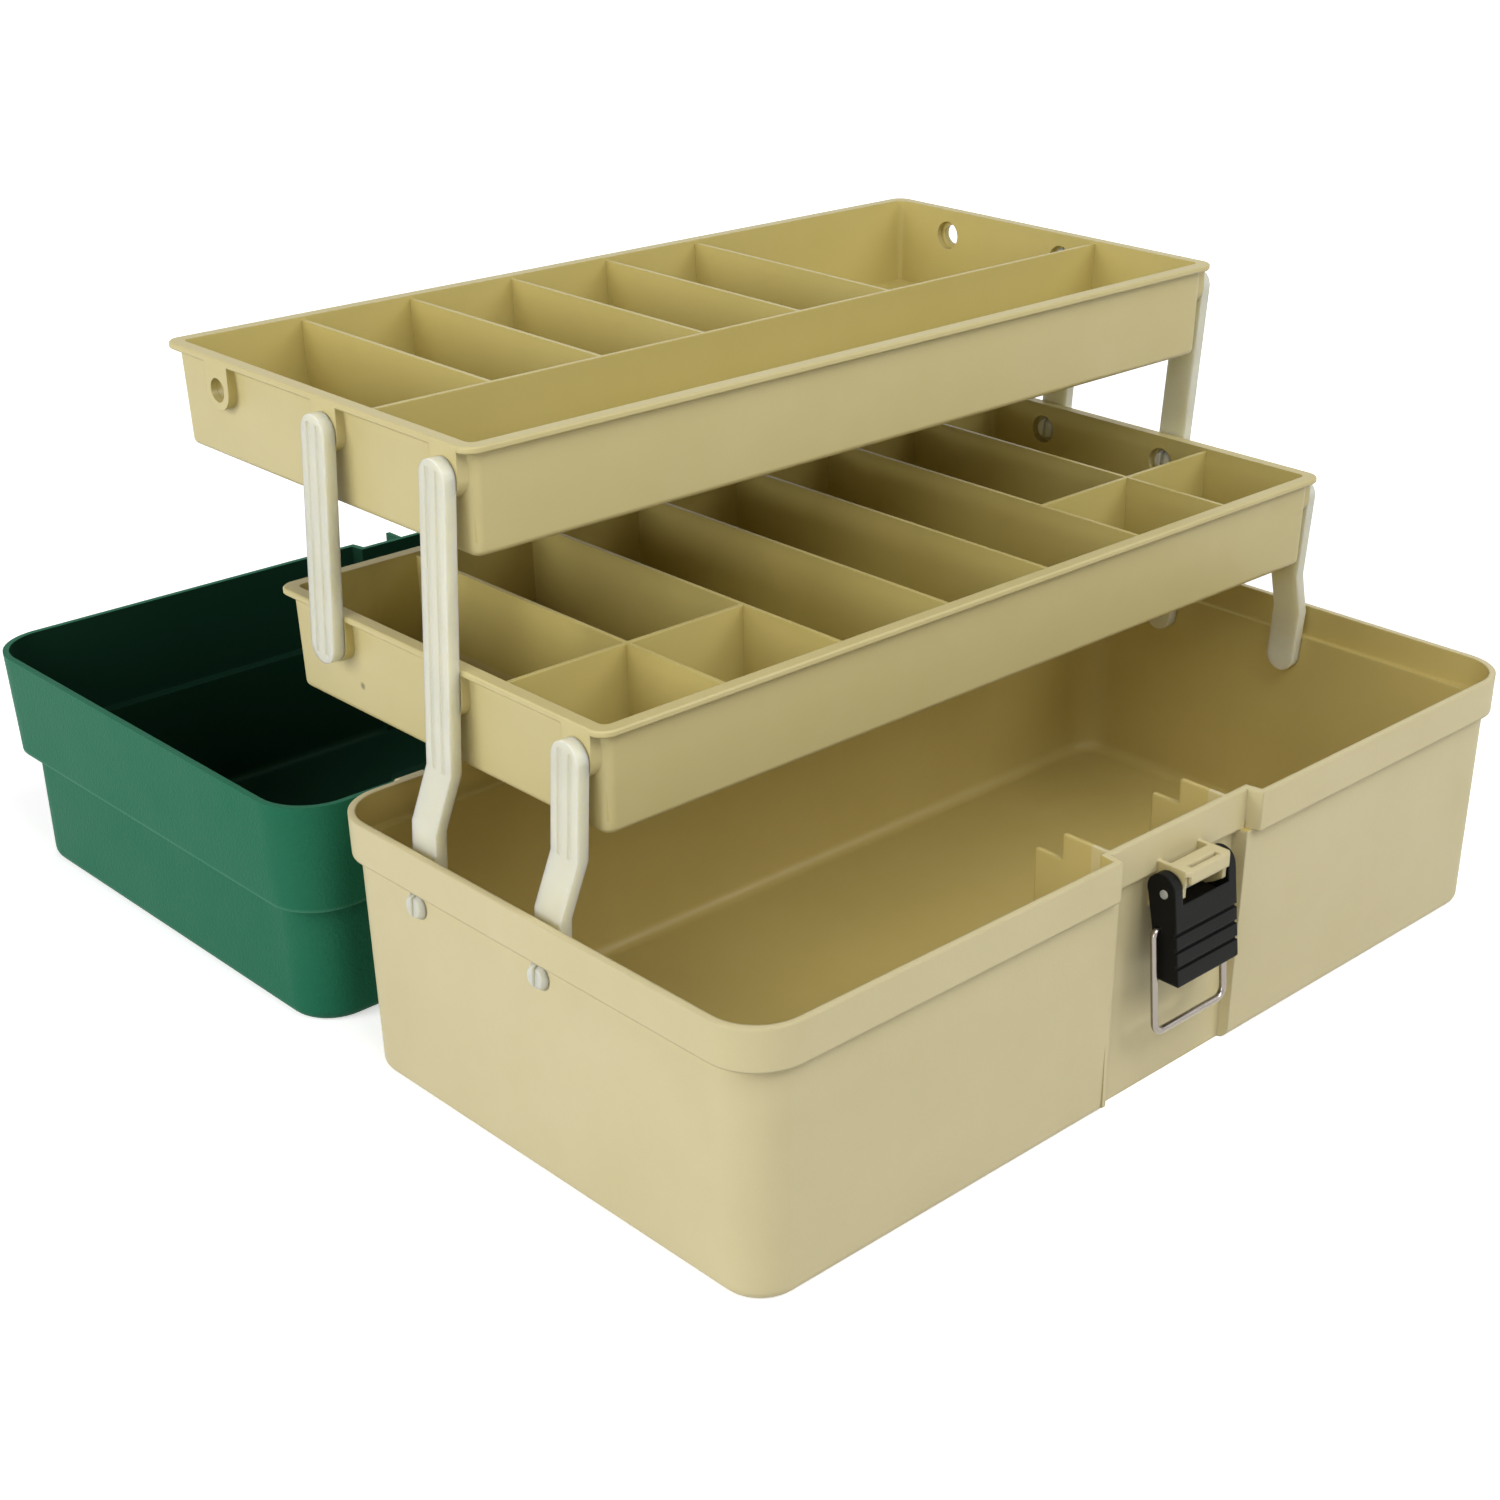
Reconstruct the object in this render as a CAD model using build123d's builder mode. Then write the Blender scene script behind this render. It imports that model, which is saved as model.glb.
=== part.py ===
"""Three-tier cantilever tool box, open: a drafted tub, a lid laid back on its rear hinge and
two divided trays swung up on moulded parallel arms. Millimetres, +Z up, +X to the right,
-Y to the front. The origin is the middle of the tub's underside."""
import os
from math import cos, radians, sin, tan

from build123d import *

# Tub
base_length = 400.0
base_width = 215.0
base_height = 99.2
base_corner = 20.0
base_wall = 2.5
base_floor = 2.5
base_draft = 1.3
base_edge = 4.0
base_inner_edge = 5.0
rim_height = 15.0
rim_step = 3.3

# Latch recess in the tub's front
recess_half = 36.5
recess_flare = 3.0
rim_recess = 6.2
body_recess = 9.0

# Fins that carry the folded lower tray
fin_x = 31.0
fin_shift = -4.5
fin_wall = 1.8
fin_reach = 27.0
fin_step_reach = 39.0
fin_gap = 0.5

# Swing arms
main_pivot_y = 60.5
pivot_drop = 21.2
pivot_spacing = 65.0
open_angle = 85.6
fold_angle = 31.8
reach_lower = 72.8
reach_upper = 74.8
arm_width = 13.0
arm_wall = 4.5
arm_gap = 0.3
main_jog = (28.3, 47.2)
front_jog = (21.2, 39.4)
groove_width = 1.6
groove_depth = 0.35
groove_offset = 2.6
groove_reach = 3.2

# Snap studs
hole_radius = 4.2
stud_fit = 0.08
stud_head = 0.7
stud_head_wall = 2.2
stud_slot = 1.4

# Trays
tray_length = 365.0
tray_width = 176.6
tray_height = 37.0
tray_corner = 6.0
tray_wall = 2.0
tray_draft = 2.0
tray_edge = 2.5
lip_width = 3.0
lip_wall = 2.4
lip_bevel = 0.5
tray_pivot_drop = 11.0
tray_offset = 10.8
boss_half = 7.0
boss_wall = 2.4
boss_pocket = 5.9
divider_wall = 1.6
divider_drop = 1.2

# Upper tray: a full-length front cell, five small cells and a large one behind it
upper_split = -28.5
upper_first = -129.0
upper_pitch = 46.7
upper_count = 5

# Lower tray: seven columns, the two at each end split in two
lower_split = -33.5
lower_pitch = 51.0
lower_count = 6

# Lid
skirt_end_gap = 3.2
skirt_side_gap = 1.8
lid_wall = 2.4
lid_rise = 1.0
lid_overlap = 9.0
lid_band = 42.0
lid_step = 7.2
lid_draft = 1.0
lid_band_draft = 3.0
lid_corner = 22.0
lid_edge = 5.0
lid_floor = 2.5
lid_recess_half = 30.0
lid_rim_recess = 6.5
lid_body_recess = 10.0

# Hinges
hinge_inset = 58.0
hinge_length = 44.0
hinge_stand = 4.5
knuckle_radius = 4.0
lid_knuckle = 22.0
knuckle_gap = 0.4
hinge_pin_radius = 1.5
pin_fit = 0.05

# Catch on the lid's front
catch_width = 24.0
catch_depth = 9.0
catch_height = 12.0
catch_lip = 1.6

# Handle, folded flat into a pocket in the lid's top
handle_length = 130.0
handle_grip = 13.0
handle_arm = 9.0
handle_wall = 7.0
handle_sink = 1.2
handle_reach = 32.0
handle_edge = 2.5
handle_stub_radius = 2.4
handle_fit = 0.1
pocket_gap = 1.5

# Latch
latch_pin_stand = 1.0
latch_pin_drop = 19.3
latch_pin_radius = 1.6
lever_half = 16.5
lever_cheek = 4.0
lever_gap = 0.6
lever_ear = 5.9
lever_ear_rise = 1.0
lever_ear_set = 1.3
lever_web = (18.6, 6.5)
lever_lean = 6.4
lever_reach = 8.5
lever_plate = 2.2
lever_length = 33.4
lever_corner = 2.0
lever_notch_drop = 3.4
lever_groove = 1.0
lever_groove_pitch = 6.1
lever_groove_first = 7.7
bracket_rise = 8.4
bracket_wall = 2.0
bracket_set = 3.0
bracket_reach = 6.3
bracket_root = 9.9
bracket_bevel = 1.5
bracket_lip = 1.2
bracket_drop = 5.0
bracket_nose = 4.0
bracket_slot = (15.2, 1.9)
bracket_slot_reach = 2.85
bail_radius = 1.3
bail_set = 1.5
bail_drop = 14.1
bail_length = 38.0
bail_side_gap = 1.1
bail_lean = 4.7
bail_corner = 4.0
bail_bend = 2.2
bail_fit = 0.08
seat_gap = 0.3

# Places that several pieces share
rim_z = base_height - rim_height
pivot_z = base_height - pivot_drop
open_y = -cos(radians(open_angle))
open_z = sin(radians(open_angle))
lid_closed_z = base_height - lid_overlap
lid_height = lid_closed_z + lid_rise
hinge_x = base_length / 2 - hinge_inset
latch_pin_y = -base_width / 2 - latch_pin_stand
latch_pin_z = base_height - latch_pin_drop
lever_front = latch_pin_y - lever_reach
lever_bottom = latch_pin_z - lever_length
lever_notch = latch_pin_z - lever_notch_drop
bracket_top = latch_pin_z + bracket_rise
bracket_back = latch_pin_y + bracket_set
bracket_front = latch_pin_y - bracket_reach
bracket_foot = latch_pin_z - bracket_root
bail_y = latch_pin_y + bail_set
hinge_z = (lid_height + lid_closed_z) / 2
lid_length = base_length + 2 * (skirt_end_gap + lid_wall)
lid_width = base_width + 2 * (skirt_side_gap + lid_wall)
hinge_y = lid_width / 2 + hinge_stand
lid_y = 2 * hinge_y
arm_inner = tray_length / 2 + arm_gap
arm_outer = arm_inner + arm_wall


def swung(reach, spacing=0.0):
    """A point on the open arms: reach along them from the base pivots, spacing to the rear."""
    return (main_pivot_y + spacing + reach * open_y, pivot_z + reach * open_z)


lower_pivot = swung(reach_lower)
upper_pivot = swung(reach_lower + reach_upper, pivot_spacing)
lower_rim = lower_pivot[1] + tray_pivot_drop
upper_rim = upper_pivot[1] + tray_pivot_drop
folded_bottom = pivot_z + reach_lower * sin(radians(fold_angle)) + tray_pivot_drop - tray_height


def drafted_block(length, width, corner, bottom, top, draft, y=0.0, edge=0.0):
    """A rounded block whose length, width and corner are those of its top."""
    inset = (top - bottom) * tan(radians(draft))
    with BuildPart() as block:
        with BuildSketch(Plane.XY.offset(bottom)):
            with Locations((0, y)):
                RectangleRounded(length - 2 * inset, width - 2 * inset, corner - inset)
        extrude(amount=top - bottom, taper=-draft)
        if edge:
            fillet(block.faces().sort_by(Axis.Z)[0].edges(), radius=edge)
    return block.part


def flared_prism(half, flare, face_y, open_side_y, bottom, top):
    """A prism for a recess: narrow at its face, wider where it opens."""
    corners = [(-half, face_y), (half, face_y), (half + flare, open_side_y), (-half - flare, open_side_y)]
    with BuildPart() as prism:
        with BuildSketch(Plane.XY.offset(bottom)):
            Polygon(*corners, align=None)
        extrude(amount=top - bottom)
    return prism.part


os.makedirs("parts", exist_ok=True)

# Tub: outer skin, then the hollow with the recess kept out of it
front_rim_face = -base_width / 2 + rim_recess
front_body_face = -base_width / 2 + body_recess
body_length = base_length - 2 * rim_step
body_width = base_width - 2 * rim_step
body_corner = base_corner - rim_step
past = base_width / 2 + 10

tub_skin = drafted_block(body_length, body_width, body_corner, 0, rim_z, base_draft, edge=base_edge)
tub_rim = drafted_block(base_length, base_width, base_corner, rim_z, base_height, base_draft)
hollow_body = drafted_block(body_length - 2 * base_wall, body_width - 2 * base_wall,
                            body_corner - base_wall, base_floor, rim_z + base_wall, base_draft,
                            edge=base_inner_edge)
hollow_rim = drafted_block(base_length - 2 * base_wall, base_width - 2 * base_wall,
                           base_corner - base_wall, rim_z + base_wall, base_height, base_draft)
rim_notch = flared_prism(recess_half, recess_flare, front_rim_face, -past, rim_z, base_height)
body_notch = flared_prism(recess_half - recess_flare, recess_flare, front_body_face, -past, 0, rim_z)
rim_notch_wall = flared_prism(recess_half + base_wall, recess_flare, front_rim_face + base_wall,
                              -past, rim_z + base_wall, base_height)
body_notch_wall = flared_prism(recess_half - recess_flare + base_wall, recess_flare,
                               front_body_face + base_wall, -past, 0, rim_z + base_wall)

with BuildPart() as hollow:
    add(hollow_body)
    add(hollow_rim)
    add(rim_notch_wall, mode=Mode.SUBTRACT)
    add(body_notch_wall, mode=Mode.SUBTRACT)

fin_root = -body_width / 2 + base_wall / 2
fin_outline = [
    (fin_root, base_floor),
    (fin_root, base_height),
    (-base_width / 2 + fin_reach, base_height),
    (-base_width / 2 + fin_reach, folded_bottom - fin_gap),
    (-base_width / 2 + fin_step_reach, folded_bottom - fin_gap),
    (-base_width / 2 + fin_step_reach, base_floor),
]
bracket_half = lever_half - lever_cheek - lever_gap
lug_length = (hinge_length - lid_knuckle) / 2 - knuckle_gap
lug_shift = lid_knuckle / 2 + knuckle_gap + lug_length / 2
lug_places = [side * hinge_x + shift for side in (-1, 1) for shift in (-lug_shift, lug_shift)]

with BuildPart() as base_box:
    add(tub_skin)
    add(tub_rim)
    add(hollow.part, mode=Mode.SUBTRACT)
    # Fins beside the recess, full height, stepped down under the folded tray
    for x in (fin_shift - fin_x, fin_shift + fin_x):
        with BuildSketch(Plane.YZ.offset(x - fin_wall / 2)):
            Polygon(*fin_outline, align=None)
        extrude(amount=fin_wall)
    add(rim_notch, mode=Mode.SUBTRACT)
    add(body_notch, mode=Mode.SUBTRACT)
    # Latch bracket: two cheeks joined by a slotted, bevelled top plate with a turned-down front
    with BuildSketch(Plane.XY.offset(bracket_top - bracket_wall)):
        Polygon((-bracket_half, bracket_back), (-bracket_half, bracket_front + bracket_bevel),
                (bracket_bevel - bracket_half, bracket_front), (bracket_half - bracket_bevel, bracket_front),
                (bracket_half, bracket_front + bracket_bevel), (bracket_half, bracket_back), align=None)
        with Locations((0, latch_pin_y - bracket_slot_reach)):
            Rectangle(*bracket_slot, mode=Mode.SUBTRACT)
    extrude(amount=bracket_wall)
    with BuildSketch(Plane.XY.offset(bracket_top - bracket_drop)):
        with Locations((0, bracket_front + bracket_lip / 2)):
            Rectangle(2 * (bracket_half - bracket_bevel), bracket_lip)
    extrude(amount=bracket_drop)
    for x in (-bracket_half, bracket_half - bracket_wall):
        with BuildSketch(Plane.YZ.offset(x)):
            Polygon((front_body_face, bracket_foot), (front_body_face, rim_z), (front_rim_face, rim_z),
                    (front_rim_face, bracket_top), (bracket_front + bracket_bevel, bracket_top),
                    (bracket_front + bracket_bevel, bracket_top - bracket_drop),
                    (latch_pin_y - bracket_nose, latch_pin_z + bracket_wall / 2),
                    (latch_pin_y - bracket_nose, latch_pin_z - bracket_wall),
                    (latch_pin_y - bracket_lip, latch_pin_z - bracket_nose), align=None)
        extrude(amount=bracket_wall)
    with BuildSketch(Plane.YZ):
        with Locations((latch_pin_y, latch_pin_z)):
            Circle(latch_pin_radius)
    extrude(amount=bracket_half + 1, both=True, mode=Mode.SUBTRACT)
    # Hinge lugs on the rear rim, passing under the closed lid's edge
    for x in lug_places:
        with BuildSketch(Plane.YZ.offset(x - lug_length / 2)):
            with Locations((hinge_y, hinge_z)):
                Circle(knuckle_radius)
            Polygon((base_width / 2 - base_wall, lid_closed_z - seat_gap),
                    (hinge_y, lid_closed_z - seat_gap), (hinge_y, hinge_z - knuckle_radius),
                    (base_width / 2 - base_wall, hinge_z - knuckle_radius - 1.5), align=None)
            with Locations((hinge_y, hinge_z)):
                Circle(hinge_pin_radius, mode=Mode.SUBTRACT)
        extrude(amount=lug_length)
    # Pivot holes of the swing arms through both end walls
    with BuildSketch(Plane.YZ):
        with Locations((main_pivot_y, pivot_z), (main_pivot_y - pivot_spacing, pivot_z)):
            Circle(hole_radius)
    extrude(amount=base_length, both=True, mode=Mode.SUBTRACT)
base_box.part.label = "base_box"
export_step(base_box.part, "parts/base_box.step")


def make_tray(pivot, rim):
    """An open tray with a flat lip and three bossed pivot holes at each end, not yet divided."""
    y = pivot[0] + tray_offset
    outer_length = tray_length - 2 * lip_width
    outer_width = tray_width - 2 * lip_width
    body_round = tray_corner - lip_width / 3
    body = drafted_block(outer_length, outer_width, body_round, rim - tray_height, rim, tray_draft, y,
                         tray_edge)
    inside = drafted_block(outer_length - 2 * tray_wall, outer_width - 2 * tray_wall,
                           body_round - tray_wall, rim - tray_height + tray_wall, rim, tray_draft, y)
    holes = [(pivot[0] + k * pivot_spacing, pivot[1]) for k in (-1, 0, 1)]
    with BuildPart() as tray:
        with BuildSketch(Plane.XY.offset(rim - lip_wall)):
            with Locations((0, y)):
                RectangleRounded(tray_length, tray_width, tray_corner)
        extrude(amount=lip_wall)
        chamfer(tray.faces().filter_by(Axis.Z).edges(), length=lip_bevel)
        add(body)
        for side in (-1, 1):
            with BuildSketch(Plane.YZ.offset(side * tray_length / 2)):
                with Locations(*holes):
                    Circle(boss_half)
                with Locations(*[(place[0], (place[1] + rim - lip_wall / 2) / 2) for place in holes]):
                    Rectangle(2 * boss_half, rim - lip_wall / 2 - holes[0][1])
            extrude(amount=-side * (lip_width + tray_wall))
        add(inside, mode=Mode.SUBTRACT)
        for side in (-1, 1):
            with BuildSketch(Plane.YZ.offset(side * tray_length / 2)):
                with Locations(*holes):
                    Circle(hole_radius)
            extrude(amount=-side * (lip_width + 2 * tray_wall), mode=Mode.SUBTRACT)
            with BuildSketch(Plane.YZ.offset(side * (tray_length / 2 - boss_wall))):
                with Locations(*holes):
                    Circle(boss_pocket)
            extrude(amount=-side * (lip_width + 2 * tray_wall), mode=Mode.SUBTRACT)
    return tray.part, inside, y


def divider_block(x, y, length, width, rim):
    """An upright divider wall from the tray's underside to just below its rim."""
    with BuildPart() as wall:
        with BuildSketch(Plane.XY.offset(rim - tray_height + tray_wall / 2)):
            with Locations((x, y)):
                Rectangle(length, width)
        extrude(amount=tray_height - tray_wall / 2 - divider_drop)
    return wall.part


# Upper tray
upper_shell, upper_inside, upper_y = make_tray(upper_pivot, upper_rim)
upper_split_y = upper_y + upper_split
rear_width = tray_width / 2 - upper_split
with BuildPart() as upper_dividers:
    add(divider_block(0, upper_split_y, tray_length, divider_wall, upper_rim))
    for k in range(upper_count):
        x = upper_first + k * upper_pitch
        add(divider_block(x, upper_split_y + rear_width / 2, divider_wall, rear_width, upper_rim))
    add(upper_inside, mode=Mode.INTERSECT)
with BuildPart() as upper_tray:
    add(upper_shell)
    add(upper_dividers.part)
upper_tray.part.label = "upper_tray"
export_step(upper_tray.part, "parts/upper_tray.step")

# Lower tray
lower_shell, lower_inside, lower_y = make_tray(lower_pivot, lower_rim)
lower_split_y = lower_y + lower_split
end_divider = lower_pitch * (lower_count - 1) / 2
end_length = tray_length / 2 - (end_divider - lower_pitch)
end_middle = (tray_length / 2 + end_divider - lower_pitch) / 2
with BuildPart() as lower_dividers:
    for k in range(lower_count):
        add(divider_block(k * lower_pitch - end_divider, lower_y, divider_wall, tray_width, lower_rim))
    for side in (-1, 1):
        add(divider_block(side * end_middle, lower_split_y, end_length, divider_wall, lower_rim))
    add(lower_inside, mode=Mode.INTERSECT)
with BuildPart() as lower_tray:
    add(lower_shell)
    add(lower_dividers.part)
lower_tray.part.label = "lower_tray"
export_step(lower_tray.part, "parts/lower_tray.step")


def lay_along(y, lateral):
    """A plane on an arm's axis from the base pivot line at y, x along the open arm. Its other
    direction is across the box where lateral is true, and across the arm where it isn't."""
    along = (0, open_y, open_z)
    facing = (0, open_z, -open_y) if lateral else (1, 0, 0)
    return Plane(origin=(0, y, pivot_z), x_dir=along, z_dir=facing)


def snap_stud(place, start, wall):
    """A split stud along X: a shank from an arm's face through a wall, and a round head past it."""
    way = 1 if wall > start else -1
    with BuildPart() as stud:
        with BuildSketch(Plane.YZ.offset(start)):
            with Locations(place):
                Circle(hole_radius - stud_fit)
        extrude(amount=wall - start)
        with Locations((wall + way * stud_head_wall / 2, *place)):
            Cone(hole_radius + stud_head, hole_radius - stud_head, stud_head_wall,
                 rotation=(0, way * 90, 0))
        with BuildSketch(Plane.YZ.offset(start + way * arm_gap)):
            with Locations(place):
                Rectangle(4 * hole_radius, stud_slot, rotation=180 - open_angle)
        extrude(amount=wall - start + way * stud_head_wall, mode=Mode.SUBTRACT)
    return stud.part


def arm_profile(first, last, jog):
    """The side outline of an arm between two places along it. An arm with a jog starts beside the
    tub's end wall and steps in to run beside the trays."""
    if not jog:
        return [(first, arm_outer), (last, arm_outer), (last, arm_inner), (first, arm_inner)]
    seat_inner = seat_outer - arm_wall
    return [(first, seat_outer), (jog[0], seat_outer), (jog[1], arm_outer), (last, arm_outer),
            (last, arm_inner), (jog[1], arm_inner), (jog[0], seat_inner), (first, seat_inner)]


def make_arm(y, first, last, jog, studs):
    """The right-hand arm whose pivots lie between first and last along it: a flat bar with round
    ends, two shallow grooves along its straight outer face and its studs moulded on."""
    groove_first = jog[1] if jog else first - groove_reach
    groove_length = last + groove_reach - groove_first
    with BuildPart() as arm:
        with BuildSketch(lay_along(y, False)):
            with Locations(((first + last) / 2, 0)):
                SlotCenterToCenter(last - first, arm_width)
        extrude(amount=tray_length)
        with BuildSketch(lay_along(y, True)):
            Polygon(*arm_profile(first - arm_width, last + arm_width, jog), align=None)
        extrude(amount=arm_width, both=True, mode=Mode.INTERSECT)
        with BuildSketch(lay_along(y, False).offset(arm_outer - groove_depth)):
            with Locations((groove_first + groove_length / 2, -groove_offset),
                           (groove_first + groove_length / 2, groove_offset)):
                Rectangle(groove_length, groove_width)
        extrude(amount=arm_wall, mode=Mode.SUBTRACT)
        for stud in studs:
            add(stud)
    return arm.part


# Swing arms: main arms from the tub through the lower tray to the upper, front arms from the
# tub to the lower tray, rear arms from the lower tray to the upper
tub_wall_at_pivot = body_length / 2 - (rim_z - pivot_z + arm_width / 2) * tan(radians(base_draft))
seat_outer = tub_wall_at_pivot - base_wall - arm_gap
head_seat = body_length / 2 - (rim_z - pivot_z - boss_half) * tan(radians(base_draft)) + stud_fit
tray_wall_face = tray_length / 2 - boss_wall - stud_fit
front_y = main_pivot_y - pivot_spacing
rear_y = main_pivot_y + pivot_spacing
reach_full = reach_lower + reach_upper


def tray_stud(y, reach):
    """The stud that holds an arm to a tray, at its reach along the arm from the base pivots."""
    place = (y + reach * open_y, pivot_z + reach * open_z)
    return snap_stud(place, arm_inner, tray_wall_face)


def tub_stud(y):
    """The stud that holds an arm to the tub's end wall, its head outside."""
    return snap_stud((y, pivot_z), seat_outer, head_seat)


arms = {
    "main_arm": make_arm(main_pivot_y, 0, reach_full, main_jog,
                         [tub_stud(main_pivot_y), tray_stud(main_pivot_y, reach_lower),
                          tray_stud(main_pivot_y, reach_full)]),
    "front_arm": make_arm(front_y, 0, reach_lower, front_jog,
                          [tub_stud(front_y), tray_stud(front_y, reach_lower)]),
    "rear_arm": make_arm(rear_y, reach_lower, reach_full, None,
                         [tray_stud(rear_y, reach_lower), tray_stud(rear_y, reach_full)]),
}
for name, right_arm in arms.items():
    left_arm = right_arm.mirror(Plane.YZ)
    left_arm.label = name + "_left"
    export_step(left_arm, f"parts/{name}_left.step")
    right_arm.label = name + "_right"
    export_step(right_arm, f"parts/{name}_right.step")

# Lid, lying open behind the tub: its top panel on the ground, its front wall farthest back
band_z = lid_height - lid_band
lid_body_length = lid_length - 2 * lid_step
lid_body_width = lid_width - 2 * lid_step
lid_body_corner = lid_corner - lid_step / 2
lid_front = lid_y + lid_width / 2
lid_past = lid_front + 10
lid_rim_face = lid_front - lid_rim_recess
lid_body_face = lid_front - lid_body_recess
flare = recess_flare
catch_drop = lid_height - catch_height
handle_axis_z = handle_sink + handle_wall / 2
handle_boss = handle_wall / 2
handle_far = lid_y + handle_reach + handle_grip / 2
pocket_near = lid_y - handle_boss - pocket_gap
pocket_far = handle_far + pocket_gap
pocket_half = handle_length / 2 + pocket_gap / 3
pocket_depth = handle_sink + handle_wall + pocket_gap
pocket_y = (pocket_near + pocket_far) / 2
pocket_width = pocket_far - pocket_near

with BuildPart() as lid_hollow:
    add(drafted_block(lid_body_length - 2 * lid_wall, lid_body_width - 2 * lid_wall,
                      lid_body_corner - lid_wall, lid_floor, band_z + lid_wall, lid_draft, lid_y,
                      edge=lid_edge - lid_wall / 2))
    add(drafted_block(lid_length - 2 * lid_wall, lid_width - 2 * lid_wall, lid_corner - lid_wall,
                      band_z + lid_wall, lid_height, lid_band_draft, lid_y))
    add(flared_prism(lid_recess_half + lid_wall, flare, lid_rim_face - lid_wall, lid_past,
                     band_z + lid_wall, lid_height), mode=Mode.SUBTRACT)
    add(flared_prism(lid_recess_half - flare + lid_wall, flare, lid_body_face - lid_wall, lid_past,
                     0, band_z + lid_wall), mode=Mode.SUBTRACT)
    with BuildSketch(Plane.XY):
        with Locations((0, pocket_y)):
            RectangleRounded(2 * (pocket_half + lid_wall), pocket_width + 2 * lid_wall,
                             handle_edge + lid_wall)
    extrude(amount=pocket_depth + lid_wall, mode=Mode.SUBTRACT)

with BuildPart() as lid:
    add(drafted_block(lid_body_length, lid_body_width, lid_body_corner, 0, band_z, lid_draft, lid_y,
                      edge=lid_edge))
    add(drafted_block(lid_length, lid_width, lid_corner, band_z, lid_height, lid_band_draft, lid_y))
    add(lid_hollow.part, mode=Mode.SUBTRACT)
    add(flared_prism(lid_recess_half, flare, lid_rim_face, lid_past, band_z, lid_height),
        mode=Mode.SUBTRACT)
    add(flared_prism(lid_recess_half - flare, flare, lid_body_face, lid_past, 0, band_z),
        mode=Mode.SUBTRACT)
    # Catch: two cheeks and a crossbar with a lip that the wire bail hooks over
    for x in (-catch_width / 2, catch_width / 2 - bracket_wall):
        with BuildSketch(Plane.YZ.offset(x)):
            Polygon((lid_rim_face - lid_wall / 2, catch_drop), (lid_rim_face + catch_depth, catch_drop),
                    (lid_rim_face + catch_depth, lid_height), (lid_rim_face - lid_wall / 2, lid_height),
                    align=None)
        extrude(amount=bracket_wall)
    with BuildSketch(Plane.YZ.offset(-catch_width / 2)):
        Polygon((lid_rim_face - lid_wall / 2, catch_drop + bracket_wall),
                (lid_rim_face - lid_wall / 2, catch_drop),
                (lid_rim_face + catch_depth - catch_lip, catch_drop),
                (lid_rim_face + catch_depth - catch_lip, catch_drop - catch_lip),
                (lid_rim_face + catch_depth, catch_drop - catch_lip),
                (lid_rim_face + catch_depth, catch_drop + 2 * bracket_wall),
                (lid_rim_face + catch_depth - catch_lip, catch_drop + bracket_wall), align=None)
    extrude(amount=catch_width)
    # Hinge knuckles on the rear skirt, between the tub's lugs
    for side in (-1, 1):
        with BuildSketch(Plane.YZ.offset(side * hinge_x - lid_knuckle / 2)):
            with Locations((hinge_y, hinge_z)):
                Circle(knuckle_radius)
            Polygon((hinge_y, hinge_z - knuckle_radius), (hinge_y, lid_height),
                    (hinge_y + hinge_stand + lid_wall / 2, lid_height),
                    (hinge_y + hinge_stand + lid_wall / 2, hinge_z - 2 * knuckle_radius), align=None)
            with Locations((hinge_y, hinge_z)):
                Circle(hinge_pin_radius + pin_fit, mode=Mode.SUBTRACT)
        extrude(amount=lid_knuckle)
    # Handle pocket and its pivot holes
    with BuildSketch(Plane.XY):
        with Locations((0, pocket_y)):
            RectangleRounded(2 * pocket_half, pocket_width, handle_edge)
    extrude(amount=pocket_depth, mode=Mode.SUBTRACT)
    with BuildSketch(Plane.YZ):
        with Locations((lid_y, handle_axis_z)):
            Circle(handle_stub_radius + handle_fit)
    extrude(amount=pocket_half + 2 * lid_wall, both=True, mode=Mode.SUBTRACT)
lid.part.label = "lid"
export_step(lid.part, "parts/lid.step")

# Handle: a round-edged U with a stub at each end
with BuildPart() as handle:
    with BuildSketch(Plane.XY.offset(handle_sink)):
        with Locations((0, (lid_y - handle_boss + handle_far) / 2)):
            RectangleRounded(handle_length, handle_far - lid_y + handle_boss, handle_boss)
        with Locations((0, (lid_y - handle_boss + handle_far) / 2 - handle_grip / 2)):
            Rectangle(handle_length - 2 * handle_arm, handle_far - lid_y + handle_boss - handle_grip,
                      mode=Mode.SUBTRACT)
    extrude(amount=handle_wall)
    grip_edges = handle.edges().filter_by(Axis.X).sort_by(Axis.Y)
    chamfer(grip_edges, length=handle_edge)
    for side in (-1, 1):
        with BuildSketch(Plane.YZ.offset(side * (handle_length / 2 - handle_arm / 2))):
            with Locations((lid_y, handle_axis_z)):
                Circle(handle_stub_radius)
        extrude(amount=side * (handle_arm / 2 + pocket_gap / 3 + lid_wall))
handle.part.label = "handle"
export_step(handle.part, "parts/handle.step")

# Hinge pins, driven through the tub's lugs
for name, side in (("hinge_pin_left", -1), ("hinge_pin_right", 1)):
    with BuildPart() as hinge_pin:
        with BuildSketch(Plane.YZ.offset(side * hinge_x)):
            with Locations((hinge_y, hinge_z)):
                Circle(hinge_pin_radius)
        extrude(amount=hinge_length / 2, both=True)
        chamfer(hinge_pin.edges(), length=hinge_pin_radius / 5)
    hinge_pin.part.label = name
    export_step(hinge_pin.part, f"parts/{name}.step")

# Latch lever: a grooved front plate between two cheeks whose ears turn on the latch pin
bail_z = latch_pin_z - bail_drop
cheek_inner = lever_half - lever_cheek
ear_y = latch_pin_y + lever_ear_set
ear_z = latch_pin_z + lever_ear_rise


def lever_face(z, depth=0.0):
    """A point of the lever's leaning front face at a height, or the given depth behind it."""
    return (lever_front + (z - lever_bottom) * sin(radians(lever_lean)) + depth, z)


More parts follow.
